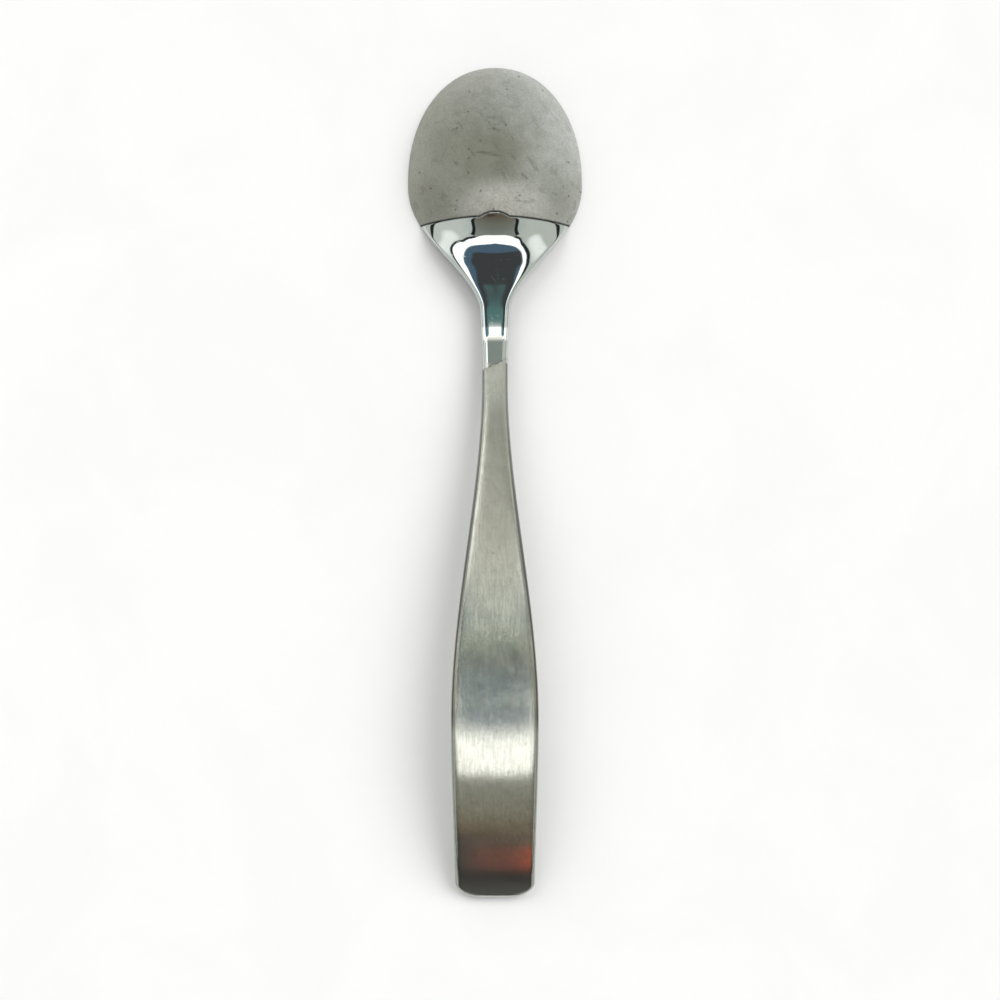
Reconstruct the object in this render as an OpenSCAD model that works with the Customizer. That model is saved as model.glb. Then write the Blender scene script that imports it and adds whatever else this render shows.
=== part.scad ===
// Grapefruit spoon, lying face down.
// X runs across the spoon, +Y points to the bowl tip and Z is up.
// Z = 0 is the plane that the rim and the handle end rest on.
// A station is the distance from the bowl tip towards the handle end, in millimetres.

/* [Overall] */
// length from the bowl tip to the handle end
length = 160; // [150:0.5:180]

/* [Bowl] */
// width of the bowl at its widest place
bowl_w = 33.6; // [28:0.1:38]
// height of the back of the bowl above the rim plane
bowl_h = 10.4; // [9.5:0.1:12]
// station of the widest place
bowl_widest = 22.4; // [20:0.1:25]
// station of the top of the back
bowl_crest = 17.5; // [15:0.1:21]
// wall of the bowl at the top of the back
bowl_wall = 1.3; // [0.9:0.05:2]
// width of the flat ground rim
rim_w = 1.3; // [0.8:0.05:2]
// station where the back of the bowl would come down to the rim plane
heel_end = 37; // [36.2:0.1:39]
// station where the hollow runs out towards the neck
hollow_end = 35.6; // [33:0.1:36.5]

/* [Neck] */
// station where the section has turned from bowl to bar
neck_at = 39; // [37:0.1:42]
// station where the shoulders have run into the neck
shoulder_end = 47.2; // [46:0.1:50]
// station where the stem starts to rise
rise_at = 50.6; // [49.5:0.1:52]
// station where the stem is steepest
steep_at = 53.9; // [53:0.1:57]
// width of the neck
neck_w = 6.4; // [5:0.1:8]
// thickness of the neck where it leaves the bowl
heel_t = 4.3; // [3.8:0.05:4.8]
// thickness of the neck where the stem starts
neck_t = 3.8; // [3:0.05:4.2]
// clear height below the neck
neck_gap = 1; // [0.6:0.05:1.4]
// station of the line between the bowl and the neck, on the centre line
line_at = 29.5; // [28:0.1:31]
// radius of the line, seen from above
line_r = 90; // [60:1:140]
// rise of the small peak in the middle of the line
peak_h = 0.8; // [0.4:0.05:1.5]
// radius of the small peak
peak_r = 5; // [3:0.1:8]
// station of the border between the neck and the handle
border_at = 57.6; // [57:0.1:60]

/* [Handle] */
// width of the stem at its narrowest place
stem_w = 4.8; // [4:0.1:7]
// station where the stem starts to widen
flare_start = 60; // [56:0.5:66]
// station where the handle is widest
flare_end = 125; // [115:0.5:130]
// width of the handle at its widest place
handle_w = 16.5; // [12:0.1:20]
// width of the handle before its rounded end
end_w = 15.2; // [11:0.1:19]
// length of the rounding at the handle end
end_round = 3.3; // [2:0.1:6]
// thickness of the broad handle
handle_t = 2.2; // [1.6:0.05:3]
// height of the top of the arched handle
arch_h = 12.4; // [10:0.1:16]
// station of the top of the arch
arch_at = 123.5; // [112:0.5:126]
// rounding of the edges of the neck
neck_edge_r = 0.35; // [0.25:0.05:0.8]
// rounding of the edges of the broad handle
edge_r = 0.5; // [0.35:0.05:1.1]

/* [Hidden] */
// shape of the outline at the tip and at the handle end, 2 is an ellipse
tip_power = 2.1;
end_power = 2;
// fullness of the bowl across and along, 1 is a parabola and 0.5 an ellipse
bowl_fullness = 0.8;
// how squarely the hollow closes towards the neck, seen from above
close_power = 4;
// how late the shoulders draw in, 1 is even
shoulder_power = 1.2;
// how softly the heel runs out into the neck, 2 is a plain arc
heel_power = 2.5;
// how far the flat faces of the bar fall towards their edges, as a share of half the thickness
brow_share = 0.1;

// points across the back and the front of a section
back_points = 28;
front_points = 10;
hollow_points = 24;
// stations along each stretch
tip_steps = 20;
heel_steps = 30;
arch_steps = 30;
fall_steps = 12;
end_steps = 8;
hollow_steps = 16;
// how far a cut runs past a face
overrun = 2;

// radius of the half-round handle end, seen from the side
nose_r = handle_t / 2;
// station where the half-round end starts
nose_at = length - nose_r;
// height of the middle of the neck and of the arch
neck_mid = neck_gap + neck_t / 2;
arch_mid = arch_h - handle_t / 2;
// the back of the bowl at the line: slope, and height over the neck
heel_dome_share = (line_at - bowl_crest) / (heel_end - bowl_crest);
heel_slope = 2 * bowl_fullness * heel_dome_share * pow(1 - pow(heel_dome_share, 2), bowl_fullness - 1)
    * bowl_h / (heel_end - bowl_crest);
heel_drop = bowl_h * pow(1 - pow(heel_dome_share, 2), bowl_fullness) - neck_gap - heel_t;
// station where the heel has run out into the neck
heel_run_end = line_at + heel_power * heel_drop / heel_slope;
// greatest slope of the stem
stem_slope = (arch_mid - neck_mid) / ((steep_at - rise_at) / 2 + (arch_at - steep_at) * 2 / 3);
// slope the handle would have at its end by the bend at the top of the arch alone
bend_slope = 2 * stem_slope * (nose_at - arch_at) / (arch_at - steep_at);
// slope of the handle at its end
end_slope = 3 * (arch_mid - nose_r) / (nose_at - arch_at) - bend_slope / 2;

function mix(a, b, t) = a + (b - a) * t;
function share(v, a, b) = min(max((v - a) / (b - a), 0), 1);
function ease(t) = t * t * (3 - 2 * t);
function round_off(t, p) = pow(max(1 - pow(abs(t), p), 0), 1 / p);

// width of the neck and stem at station s, and how far the shoulders have drawn in to it, 0 to 1
function neck_and_stem_w(s) = mix(neck_w, stem_w, ease(share(s, neck_at, flare_start)));
function shoulder_share(s) = ease(pow(share(s, bowl_widest, shoulder_end), shoulder_power));

// half width of the outline at station s
function half_w(s) =
    s < bowl_widest ? bowl_w / 2 * round_off(1 - s / bowl_widest, tip_power)
    : s < flare_start ? mix(bowl_w, neck_and_stem_w(s), shoulder_share(s)) / 2
    : s < flare_end ? mix(stem_w, handle_w, ease(share(s, flare_start, flare_end))) / 2
    : mix(handle_w, end_w, ease(share(s, flare_end, length))) / 2
        * round_off(share(s, length - end_round, length), end_power);

// how far the section has turned from bowl to bar at station s, 0 to 1
function bar_share(s) = ease(share(s, line_at, neck_at));

// thickness of the stem and handle at station s, and the rounding of the edges
function bar_t(s) = mix(neck_t, handle_t, ease(share(s, rise_at, arch_at)));
function round_r(s) = mix(neck_edge_r, edge_r, ease(share(s, rise_at, flare_end)));

// half thickness left by the half-round handle end
function nose_share(s) = sqrt(max(1 - pow(share(s, nose_at, length), 2), 0));

// height of a dome of height h that starts at station a and ends at station b
function dome(s, a, b, h) = let (t = s < bowl_crest ? share(s, bowl_crest, a) : share(s, bowl_crest, b))
    h * pow(1 - t * t, bowl_fullness);

// height of the back of the heel, which leaves the line with the slope of the bowl and sweeps into the neck
function heel_back(s) = neck_gap + mix(heel_t, neck_t, ease(share(s, line_at, rise_at)))
    + heel_drop * pow(1 - share(s, line_at, heel_run_end), heel_power);

// height of the back above the middle line at station s
function crown(s) =
    s < line_at ? dome(s, 0, heel_end, bowl_h)
    : s < rise_at ? heel_back(s) - middle(s)
    : bar_t(s) / 2 * nose_share(s);

// depth of the front below the middle line at station s
function belly(s) = bar_t(s) / 2 * bar_share(s) * nose_share(s);

// rise of the arched stem and handle over the neck at station s
function climb(s) = let (t = share(s, rise_at, steep_at), u = share(s, steep_at, arch_at))
    stem_slope * ((steep_at - rise_at) * (pow(t, 3) - pow(t, 4) / 2)
        + (arch_at - steep_at) * (u - pow(u, 3) / 3));
function fall(s) = let (t = share(s, arch_at, nose_at))
    (nose_at - arch_at) * (bend_slope * pow(t, 2) / 2 + (end_slope - bend_slope) * pow(t, 3) / 3);
function slope(s) =
    let (t = share(s, rise_at, steep_at), u = share(s, steep_at, arch_at), v = share(s, arch_at, nose_at))
    s < arch_at ? stem_slope * (ease(t) - pow(u, 2))
    : -(bend_slope * v + (end_slope - bend_slope) * pow(v, 2));

// height of the middle line at station s
function middle(s) = neck_mid * bar_share(s) + climb(s) - fall(s);

// section heights at u across the spoon, -1 to 1, each 1 in the middle and 0 at the edge
function bowl_section(u) = pow(1 - u * u, bowl_fullness);
function bar_section(u, s) = (1 - brow_share * pow(u, 4))
    * sqrt(1 - pow(abs(u), max(2 * half_w(s) / round_r(s), 2)));
function back_section(u, s) = mix(bowl_section(u), bar_section(u, s), bar_share(s));

// one closed section, square to the middle line
function section(s) = let (
    at = min(s, nose_at),
    tilt = atan(slope(s)),
    along = (s - at) * cos(tilt),
    base = [0, length / 2 - at - along, middle(at) + (s - at) * sin(tilt)],
    up = [0, sin(tilt), cos(tilt)],
    w = half_w(s))
    concat(
        [for (i = [0 : back_points]) let (u = cos(180 * i / back_points))
            base + [u * w, 0, 0] + up * crown(s) * back_section(u, s)],
        [for (i = [1 : front_points - 1]) let (u = -cos(180 * i / front_points))
            base + [u * w, 0, 0] - up * belly(s) * bar_section(u, s)]);

// half the width of the hollow at station s
function hollow_half_w(s) =
    s < bowl_widest ? (bowl_w / 2 - rim_w) * round_off((bowl_widest - s) / (bowl_widest - rim_w), tip_power)
    : (half_w(s) - rim_w) * sqrt(1 - pow(share(s, bowl_widest, hollow_end), close_power));

// one section of the hollow, open below
function hollow_section(s) = let (w = hollow_half_w(s), y = length / 2 - s)
    concat(
        [for (i = [0 : hollow_points]) let (u = cos(180 * i / hollow_points))
            [u * w, y, dome(s, rim_w, hollow_end, bowl_h - bowl_wall) * bowl_section(u)]],
        [[-w, y, -overrun], [w, y, -overrun]]);

// stations from a to b, closer together where they start, where they end, or evenly
function close_start(a, b, n) = [for (i = [0 : n - 1]) mix(b, a, cos(90 * i / n))];
function close_end(a, b, n) = [for (i = [0 : n - 1]) mix(a, b, sin(90 * i / n))];
function even(a, b, n) = [for (i = [0 : n - 1]) mix(a, b, i / n)];

// a solid through a list of closed sections
function apart(a, b) = norm(a - b) > 0;
function real_face(f, p) = apart(p[f[0]], p[f[1]]) && apart(p[f[1]], p[f[2]]) && apart(p[f[2]], p[f[0]]);
module loft(rings) {
    n = len(rings[0]);
    last = len(rings) - 1;
    points = [for (ring = rings) each ring];
    sides = [for (i = [0 : last - 1], j = [0 : n - 1]) let (k = (j + 1) % n, a = i * n, b = a + n)
        each [[a + j, b + k, a + k], [a + j, b + j, b + k]]];
    middle_point = floor(back_points / 2);
    caps = concat(
        [if (apart(rings[0][0], rings[0][middle_point])) [for (j = [0 : n - 1]) j]],
        [if (apart(rings[last][0], rings[last][middle_point])) [for (j = [n - 1 : -1 : 0]) last * n + j]]);
    polyhedron(points, concat([for (f = sides) if (real_face(f, points)) f], caps));
}

// the bowl and neck as one solid, before the hollow
module head() {
    loft([for (s = concat(
        close_start(0, bowl_widest, tip_steps),
        even(bowl_widest, border_at, heel_steps),
        [border_at])) section(s)]);
}

// the hollow of the bowl
module hollow() {
    loft([for (s = concat(
        close_start(rim_w, bowl_widest, hollow_steps),
        close_end(bowl_widest, hollow_end, hollow_steps),
        [hollow_end])) hollow_section(s)]);
}

// everything on the neck side of the curved line
module neck_side() {
    translate([0, length / 2 - line_at - line_r, -overrun])
        cylinder(r = line_r, h = bowl_h + 2 * overrun, $fn = 180);
    translate([0, length / 2 - line_at + peak_h - peak_r, -overrun])
        cylinder(r = peak_r, h = bowl_h + 2 * overrun, $fn = 90);
}

// satin shell, open below, with a flat rim
module bowl() {
    color([0.62, 0.63, 0.6])
        difference() {
            head();
            neck_side();
            hollow();
        }
}

// polished heel and neck
module neck() {
    color([0.78, 0.79, 0.8])
        difference() {
            intersection() {
                head();
                neck_side();
            }
            hollow();
        }
}

// brushed stem and broad handle, arched, with a half-round end
module handle() {
    color([0.66, 0.67, 0.63])
        loft([for (s = concat(
            even(border_at, arch_at, arch_steps),
            even(arch_at, length - end_round, fall_steps),
            close_end(length - end_round, length, end_steps),
            [length])) section(s)]);
}

bowl();
neck();
handle();
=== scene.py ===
import math
from types import SimpleNamespace

import bpy
import numpy as np
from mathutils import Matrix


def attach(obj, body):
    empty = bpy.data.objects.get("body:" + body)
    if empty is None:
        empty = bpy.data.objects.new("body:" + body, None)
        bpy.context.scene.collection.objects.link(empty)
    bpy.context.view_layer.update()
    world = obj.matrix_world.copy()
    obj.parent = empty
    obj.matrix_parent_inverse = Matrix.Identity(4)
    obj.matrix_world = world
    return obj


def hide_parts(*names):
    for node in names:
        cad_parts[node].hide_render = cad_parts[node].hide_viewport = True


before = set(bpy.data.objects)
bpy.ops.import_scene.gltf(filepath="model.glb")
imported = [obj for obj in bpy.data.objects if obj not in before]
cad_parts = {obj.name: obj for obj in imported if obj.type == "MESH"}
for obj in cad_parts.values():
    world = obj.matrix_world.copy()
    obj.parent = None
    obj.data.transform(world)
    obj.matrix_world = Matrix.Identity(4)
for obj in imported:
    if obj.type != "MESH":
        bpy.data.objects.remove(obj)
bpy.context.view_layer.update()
scene = bpy.context.scene
scene.view_settings.view_transform = "Standard"
print("frame loaded:", ", ".join(sorted(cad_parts)))

# the spoon's outline and heights in millimetres; a station is the distance from the bowl tip
spoon = {
    "length": 160, "bowlWidth": 33.6, "bowlHeight": 10.4, "bowlWidest": 22.4, "bowlCrest": 17.5,
    "bowlWall": 1.3, "rimWidth": 1.3, "heelEnd": 37, "hollowEnd": 35.6,
    "neckAt": 39, "shoulderEnd": 47.2, "riseAt": 50.6, "steepAt": 53.9, "neckWidth": 6.4, "heelThick": 4.3,
    "neckThick": 3.8, "neckGap": 1, "lineAt": 29.5, "lineRadius": 90, "peakHeight": 0.8,
    "peakRadius": 5, "borderAt": 57.6,
    "stemWidth": 4.8, "flareStart": 60, "flareEnd": 125, "handleWidth": 16.5, "endWidth": 15.2,
    "endRound": 3.3, "handleThick": 2.2, "archHeight": 12.4, "archAt": 123.5,
    "neckEdge": 0.35, "handleEdge": 0.5,
    "tipPower": 2.1, "endPower": 2, "fullness": 0.8, "closePower": 4, "shoulderPower": 1.2,
    "heelPower": 2.5, "browShare": 0.1, "thinEarly": 1.6,
}
sp = SimpleNamespace(**spoon)
mm = 0.001
halfway = 0.5  # middle of a map, of a noise, or between no and yes

# sizes that follow from the ones above
noseRadius = sp.handleThick / 2
noseAt = sp.length - noseRadius
neckMid = sp.neckGap + sp.neckThick / 2
archMid = sp.archHeight - sp.handleThick / 2
heelReach = (sp.lineAt - sp.bowlCrest) / (sp.heelEnd - sp.bowlCrest)
heelSlope = (2 * sp.fullness * heelReach * (1 - heelReach ** 2) ** (sp.fullness - 1)
             * sp.bowlHeight / (sp.heelEnd - sp.bowlCrest))
heelDrop = sp.bowlHeight * (1 - heelReach ** 2) ** sp.fullness - sp.neckGap - sp.heelThick
heelRunEnd = sp.lineAt + sp.heelPower * heelDrop / heelSlope
bendShare = 11 / 35  # mean of the bend's slope, which starts slowly and ends quickly
# the climb to the arch has a mean slope of two thirds of its steepest
stemSlope = (archMid - neckMid) / ((sp.steepAt - sp.riseAt) * bendShare + (sp.archAt - sp.steepAt) * 2 / 3)
bendSlope = 2 * stemSlope * (noseAt - sp.archAt) / (sp.archAt - sp.steepAt)
endSlope = 3 * (archMid - noseRadius) / (noseAt - sp.archAt) - bendSlope / 2


def lerp(a, b, t):
    return a + (b - a) * t


def portion(v, a, b):
    return np.clip((v - a) / (b - a), 0, 1)


def ease(t):
    return t * t * (3 - 2 * t)


def roundOff(t, power):
    return np.maximum(1 - np.abs(t) ** power, 0) ** (1 / power)


def halfWidth(s):
    tip = sp.bowlWidth / 2 * roundOff(1 - portion(s, 0, sp.bowlWidest), sp.tipPower)
    stem = lerp(sp.neckWidth, sp.stemWidth, ease(portion(s, sp.neckAt, sp.flareStart)))
    drawn = ease(portion(s, sp.bowlWidest, sp.shoulderEnd) ** sp.shoulderPower)
    shoulder = lerp(sp.bowlWidth, stem, drawn) / 2
    flare = lerp(sp.stemWidth, sp.handleWidth, ease(portion(s, sp.flareStart, sp.flareEnd))) / 2
    end = (lerp(sp.handleWidth, sp.endWidth, ease(portion(s, sp.flareEnd, sp.length))) / 2
           * roundOff(portion(s, sp.length - sp.endRound, sp.length), sp.endPower))
    return np.where(s < sp.bowlWidest, tip,
                    np.where(s < sp.flareStart, shoulder, np.where(s < sp.flareEnd, flare, end)))


def barShare(s):
    return ease(portion(s, sp.lineAt, sp.neckAt))


def barThick(s):
    return lerp(sp.neckThick, sp.handleThick, ease(portion(s, sp.riseAt, sp.archAt)))


def noseShare(s):
    return np.sqrt(np.maximum(1 - portion(s, noseAt, sp.length) ** 2, 0))


def dome(s, start, end, height):
    t = np.where(s < sp.bowlCrest, portion(s, sp.bowlCrest, start), portion(s, sp.bowlCrest, end))
    return height * (1 - t * t) ** sp.fullness


def alongBar(s):
    # how far the bend, the climb and the fall to the end have gone
    bend, climb = portion(s, sp.riseAt, sp.steepAt), portion(s, sp.steepAt, sp.archAt)
    return bend, climb, portion(s, sp.archAt, noseAt)


def middleLine(s):
    # the slopes of lineSlope, added up from the foot of the stem
    t, u, v = alongBar(s)
    climb = stemSlope * ((sp.steepAt - sp.riseAt) * (t ** 5 * 3 / 5 - t ** 7 * 2 / 7)
                         + (sp.archAt - sp.steepAt) * (u - u ** 3 / 3))
    fall = (noseAt - sp.archAt) * (bendSlope * v ** 2 / 2 + (endSlope - bendSlope) * v ** 3 / 3)
    return neckMid * barShare(s) + climb - fall


def lineSlope(s):
    t, u, v = alongBar(s)
    return np.where(s < sp.archAt, stemSlope * (ease(t ** 2) - u ** 2),
                    -(bendSlope * v + (endSlope - bendSlope) * v ** 2))


def crown(s):
    run = portion(s, sp.lineAt, sp.riseAt)
    thinned = run ** 2 * (1 + sp.thinEarly - sp.thinEarly * run)
    heelBack = (sp.neckGap + lerp(sp.heelThick, sp.neckThick, thinned)
                + heelDrop * (1 - portion(s, sp.lineAt, heelRunEnd)) ** sp.heelPower)
    return np.where(s < sp.lineAt, dome(s, 0, sp.heelEnd, sp.bowlHeight),
                    np.where(s < sp.riseAt, heelBack - middleLine(s), barThick(s) / 2 * noseShare(s)))


def bowlSection(u):
    return np.maximum(1 - u * u, 0) ** sp.fullness


def barSection(u, s):
    edge = lerp(sp.neckEdge, sp.handleEdge, ease(portion(s, sp.riseAt, sp.flareEnd)))
    power = np.maximum(2 * halfWidth(s) / edge, 2)
    return (1 - sp.browShare * u ** 4) * np.sqrt(np.maximum(1 - np.abs(u) ** power, 0))


# rounding left by the polisher on the heel, in millimetres: a slight swell and a section that flattens late
heelPolish = {
    "swell": 0.11, "swellFull": 32.5, "swellFades": 35, "swellEnd": 42.5,
    "lateFrom": 30.5, "lateFull": 38, "flatAt": 46,
}


def heelSwell(s):
    rise = 1 - (1 - portion(s, sp.lineAt, heelPolish["swellFull"])) ** 2
    fade = 1 - ease(portion(s, heelPolish["swellFades"], heelPolish["swellEnd"]))
    return heelPolish["swell"] * rise * fade


def sectionShare(s):
    late = 1 - (1 - portion(s, sp.lineAt, heelPolish["flatAt"])) ** 2
    return lerp(barShare(s), late, ease(portion(s, heelPolish["lateFrom"], heelPolish["lateFull"])))


def surfaces(s, u):
    # points of the back and of the front in millimetres, at stations s and places u from -1 to 1 across
    at = np.minimum(s, noseAt)
    tilt = np.arctan(lineSlope(s))
    x = u * halfWidth(s)
    y = sp.length / 2 - at - (s - at) * np.cos(tilt)
    z = middleLine(at) + (s - at) * np.sin(tilt)
    up = (crown(s) + heelSwell(s)) * lerp(bowlSection(u), barSection(u, s), sectionShare(s))
    down = barThick(s) / 2 * barShare(s) * noseShare(s) * barSection(u, s)
    back = np.stack([x, y + up * np.sin(tilt), z + up * np.cos(tilt)], -1)
    front = np.stack([x, y - down * np.sin(tilt), z - down * np.cos(tilt)], -1)
    return back, front


def placesAcross(count):
    return np.cos(np.pi * np.arange(count + 1) / count)


lineRounds = 40  # steps of the search below


def lineStations(u):
    # where the line across the heel crosses each place u, found by repeated steps
    s = np.full_like(u, sp.lineAt)
    for _ in range(lineRounds):
        x = u * halfWidth(s)
        arc = sp.lineAt + sp.lineRadius - np.sqrt(sp.lineRadius ** 2 - x ** 2)
        inPeak = np.maximum(sp.peakRadius ** 2 - x ** 2, 0)
        peak = sp.lineAt - sp.peakHeight + sp.peakRadius - np.sqrt(inPeak)
        s = np.where(np.abs(x) < sp.peakRadius, np.minimum(arc, peak), arc)
    return s


weldGrid = 1e6  # steps per millimetre, points in the same step become one


def closedPiece(name, back, front, along, across):
    # a closed mesh from two sheets of points that meet at their sides, with strips over both ends
    rows, columns = back.shape[:2]
    ring = np.concatenate([back, front[:, ::-1]], 1)
    ringAlong = np.concatenate([along, along[:, ::-1]], 1).ravel()
    ringAcross = np.concatenate([across, across[:, ::-1]], 1).ravel()
    size = 2 * columns
    points = ring.reshape(-1, 3)
    keys = np.round(points * weldGrid).astype(np.int64)
    _, first, weld = np.unique(keys, axis=0, return_index=True, return_inverse=True)
    weld = weld.ravel()
    quads = []
    for i in range(rows - 1):
        a, b = i * size, (i + 1) * size
        quads += [(a + j, a + (j + 1) % size, b + (j + 1) % size, b + j) for j in range(size)]
    last = (rows - 1) * size
    for j in range(columns - 1):
        j2, k, k2 = j + 1, size - 1 - j, size - 2 - j
        quads.append((j, k, k2, j2))
        quads.append((last + j, last + j2, last + k2, last + k))
    faces = []
    for quad in quads:
        corners = list(dict.fromkeys(int(weld[q]) for q in quad))
        if len(corners) > 2:
            faces.append(corners)
    mesh = bpy.data.meshes.new(name)
    mesh.from_pydata((points[first] * mm).tolist(), [], faces)
    for label, values in (("along", ringAlong), ("across", ringAcross)):
        layer = mesh.attributes.new(label, "FLOAT", "POINT")
        layer.data.foreach_set("value", values[first].astype(np.float32))
    mesh.update()
    piece = bpy.data.objects.new(name, mesh)
    scene.collection.objects.link(piece)
    return piece


def cutAway(piece, cutter):
    step = piece.modifiers.new("hollow", "BOOLEAN")
    step.operation = "DIFFERENCE"
    step.solver = "EXACT"
    step.object = cutter
    graph = bpy.context.evaluated_depsgraph_get()
    cut = bpy.data.meshes.new_from_object(piece.evaluated_get(graph))
    piece.modifiers.clear()
    whole = piece.data
    piece.data = cut
    bpy.data.meshes.remove(whole)
    cut.name = piece.name


def smoothFaces(piece, degrees=38):
    piece.data.shade_smooth()
    piece.data.set_sharp_from_angle(angle=math.radians(degrees))


# small groove between the satin bowl and the polished heel, in millimetres
groove = {"width": 0.28, "depth": 0.12, "rows": 7, "power": 1.4, "fullAbove": 1.5}


def sinkIntoGroove(back, gap):
    # lowers the back next to the line, less so where the back comes down to the rim
    near = np.clip(1 - gap / groove["width"], 0, 1) ** groove["power"]
    back[..., 2] -= groove["depth"] * near * np.clip(back[..., 2] / groove["fullAbove"], 0, 1)


bowlShape = {"columns": 144, "rows": 110, "hollowRows": 44, "hollowColumns": 96, "overrun": 2}
across = placesAcross(bowlShape["columns"])
lineAt = lineStations(across)
grooveSteps = np.linspace(1, 0, groove["rows"])[:, None] * groove["width"]
tipSteps = 1 - np.cos(np.linspace(0, np.pi / 2, bowlShape["rows"]))
stations = np.concatenate([tipSteps[:, None] * (lineAt - groove["width"]), lineAt - grooveSteps[1:]])
acrossGrid = np.broadcast_to(across, stations.shape)
back, front = surfaces(stations, acrossGrid)
sinkIntoGroove(back, lineAt - stations)
satinBowl = closedPiece("satinBowl", back, front, stations, acrossGrid)

neckShape = {"rows": 130}  # its columns are the bowl's, so that the two meet along the line
runSteps = np.linspace(0, 1, neckShape["rows"])[:, None]
start = lineAt + groove["width"]
stations = np.concatenate([lineAt + grooveSteps[:0:-1], start + runSteps * (sp.borderAt - start)])
acrossGrid = np.broadcast_to(across, stations.shape)
back, front = surfaces(stations, acrossGrid)
sinkIntoGroove(back, stations - lineAt)
polishedNeck = closedPiece("polishedNeck", back, front, stations, acrossGrid)

# the hollow under the bowl runs on into the neck, so it is cut from both
hollowHalf = np.linspace(0, np.pi / 2, bowlShape["hollowRows"])
stations = np.concatenate([lerp(sp.bowlWidest, sp.rimWidth, np.cos(hollowHalf)),
                           lerp(sp.bowlWidest, sp.hollowEnd, np.sin(hollowHalf[1:]))])[:, None]
acrossGrid = placesAcross(bowlShape["hollowColumns"])[None, :]
tipHalf = (sp.bowlWidth / 2 - sp.rimWidth) * roundOff(
    np.maximum(sp.bowlWidest - stations, 0) / (sp.bowlWidest - sp.rimWidth), sp.tipPower)
heelHalf = (halfWidth(stations) - sp.rimWidth) * np.sqrt(np.maximum(
    1 - portion(stations, sp.bowlWidest, sp.hollowEnd) ** sp.closePower, 0))
x = np.where(stations < sp.bowlWidest, tipHalf, heelHalf) * acrossGrid
y = np.broadcast_to(sp.length / 2 - stations, x.shape)
z = dome(stations, sp.rimWidth, sp.hollowEnd, sp.bowlHeight - sp.bowlWall) * bowlSection(acrossGrid)
hollowRoof = np.stack([x, y, z], -1)
hollowFloor = np.stack([x, y, np.full_like(x, -bowlShape["overrun"])], -1)
hollow = closedPiece("hollow", hollowRoof, hollowFloor, np.broadcast_to(stations, x.shape),
                     np.broadcast_to(acrossGrid, x.shape))
for piece in (satinBowl, polishedNeck):
    cutAway(piece, hollow)
    smoothFaces(piece)
bpy.data.objects.remove(hollow)
print("bowl and neck:", len(satinBowl.data.polygons), "and", len(polishedNeck.data.polygons), "faces")

handleShape = {"columns": 96, "rows": 190, "endRows": 36}
roundStart = sp.length - sp.endRound
endTurn = np.sin(np.linspace(0, np.pi / 2, handleShape["endRows"]))
stations = np.concatenate([np.linspace(sp.borderAt, roundStart, handleShape["rows"])[:-1],
                           lerp(roundStart, sp.length, endTurn)])
across = placesAcross(handleShape["columns"])
stations, acrossGrid = np.meshgrid(stations, across, indexing="ij")
back, front = surfaces(stations, acrossGrid)
brushedHandle = closedPiece("brushedHandle", back, front, stations, acrossGrid)
smoothFaces(brushedHandle)
# the brushing runs along the handle, so the map's first direction lies across it
brushMap = brushedHandle.data.uv_layers.new(name="brushMap")
corner = np.zeros(len(brushedHandle.data.loops), np.int32)
brushedHandle.data.loops.foreach_get("vertex_index", corner)
place = np.zeros(len(brushedHandle.data.vertices) * 3, np.float32)
brushedHandle.data.vertices.foreach_get("co", place)
place = place.reshape(-1, 3)[corner]
brushMap.data.foreach_set("uv", (place[:, :2] / (sp.length * mm) + halfway).ravel())
print("handle:", len(brushedHandle.data.polygons), "faces")


# node helpers
def addNode(tree, kind, sockets=None, **settings):
    made = tree.nodes.new(kind)
    for key, value in settings.items():
        setattr(made, key, value)
    for key, value in (sockets or {}).items():
        if isinstance(value, bpy.types.NodeSocket):
            tree.links.new(value, made.inputs[key])
        else:
            made.inputs[key].default_value = value
    return made


def calc(tree, operation, a, b=0.0, c=None):
    sockets = {0: a, 1: b}
    if c is not None:
        sockets[2] = c
    return addNode(tree, "ShaderNodeMath", sockets, operation=operation).outputs[0]


def product(tree, first, *others):
    total = first
    for other in others:
        total = calc(tree, "MULTIPLY", total, other)
    return total


def vectorCalc(tree, operation, a, b):
    return addNode(tree, "ShaderNodeVectorMath", {0: a, 1: b}, operation=operation).outputs[0]


def partsOf(tree, vector):
    return addNode(tree, "ShaderNodeSeparateXYZ", {0: vector}).outputs


def evenRamp(tree, value, low, high):
    return addNode(tree, "ShaderNodeMapRange", {0: value, 1: low, 2: high}).outputs[0]


def rampTo(tree, value, low, high, toLow=0.0, toHigh=1.0):
    return addNode(tree, "ShaderNodeMapRange", {0: value, 1: low, 2: high, 3: toLow, 4: toHigh},
                   interpolation_type="SMOOTHSTEP").outputs[0]


def noiseAt(tree, place, scale, detail, **others):
    sockets = {"Vector": place, "Scale": scale, "Detail": detail, **others}
    return addNode(tree, "ShaderNodeTexNoise", sockets).outputs["Fac"]


def blendValue(tree, factor, a, b):
    return addNode(tree, "ShaderNodeMix", {0: factor, 2: a, 3: b}).outputs[0]


def blendColor(tree, factor, a, b):
    return addNode(tree, "ShaderNodeMix", {0: factor, 6: a, 7: b}, data_type="RGBA").outputs[2]


def tint(tree, color, tone, mask, amount):
    # lays a tone over a colour where the mask is, at most by that amount
    return blendColor(tree, calc(tree, "MULTIPLY", mask, amount), color, tone)


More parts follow.
